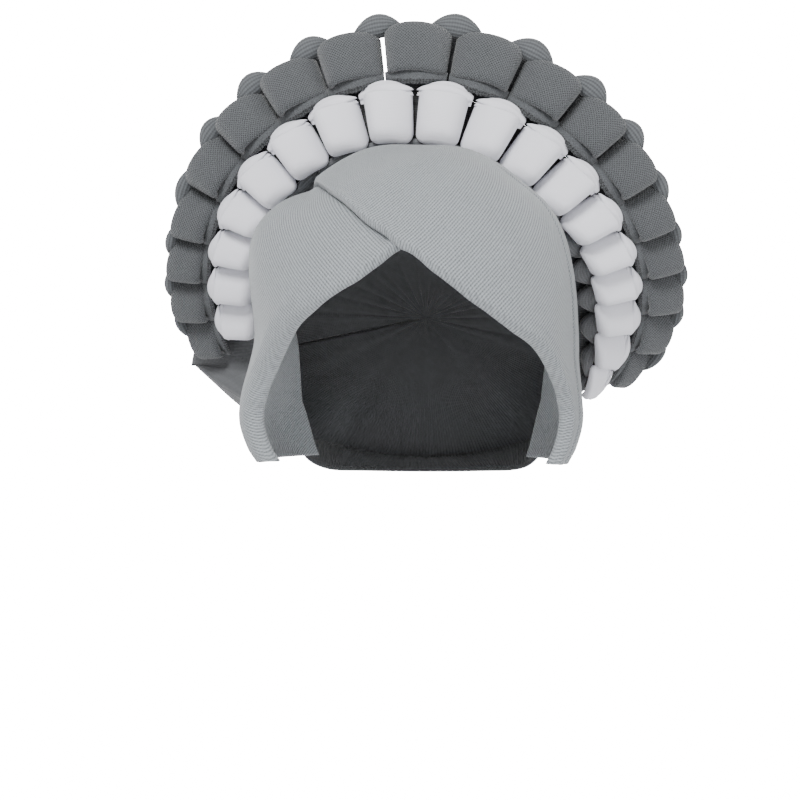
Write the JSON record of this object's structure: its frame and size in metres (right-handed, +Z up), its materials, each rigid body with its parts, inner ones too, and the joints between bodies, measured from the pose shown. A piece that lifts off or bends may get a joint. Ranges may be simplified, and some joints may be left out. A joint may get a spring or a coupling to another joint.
{
  "type": "tied gele head tie",
  "caption": "Pre-tied gele head tie in light grey cloth with crossed forehead wraps and two raised, padded rows of dark grey and white links round the crown.",
  "frame": {"origin": "middle of the head hollow at brow height", "axes": "+X to the viewer's right, +Y to the back of the head, +Z up; the face opening is toward -Y"},
  "size_m": [0.2627, 0.219, 0.2219],
  "materials": {
    "wrap_cloth": "matt ribbed light grey",
    "dark_grey_cloth": "matt dark grey mesh knit",
    "petal_cloth": "matt mid grey",
    "cover_cloth": "matt dark grey",
    "white_cloth": "smooth cool white"
  },
  "bodies": {
    "root": {"wrap_under": "wrap_cloth", "wrap_over": "wrap_cloth", "rear_cover": "cover_cloth", "grey_backing": "dark_grey_cloth", "white_backing": "petal_cloth", "grey_link_01": "dark_grey_cloth", "grey_link_02": "dark_grey_cloth", "grey_link_03": "dark_grey_cloth", "grey_link_04": "dark_grey_cloth", "grey_link_05": "dark_grey_cloth", "grey_link_06": "dark_grey_cloth", "grey_link_07": "dark_grey_cloth", "grey_link_08": "dark_grey_cloth", "grey_link_09": "dark_grey_cloth", "grey_link_10": "dark_grey_cloth", "grey_link_11": "dark_grey_cloth", "grey_link_12": "dark_grey_cloth", "grey_link_13": "dark_grey_cloth", "grey_link_14": "dark_grey_cloth", "grey_link_15": "dark_grey_cloth", "grey_link_16": "dark_grey_cloth", "grey_link_17": "dark_grey_cloth", "grey_link_18": "dark_grey_cloth", "white_link_01": "white_cloth", "white_link_02": "white_cloth", "white_link_03": "white_cloth", "white_link_04": "white_cloth", "white_link_05": "white_cloth", "white_link_06": "white_cloth", "white_link_07": "white_cloth", "white_link_08": "white_cloth", "white_link_09": "white_cloth", "white_link_10": "white_cloth", "white_link_11": "white_cloth", "white_link_12": "white_cloth", "white_link_13": "white_cloth", "white_link_14": "white_cloth", "white_link_15": "white_cloth", "white_link_16": "white_cloth", "white_link_17": "white_cloth", "white_link_18": "white_cloth"}
  },
  "joints": []
}
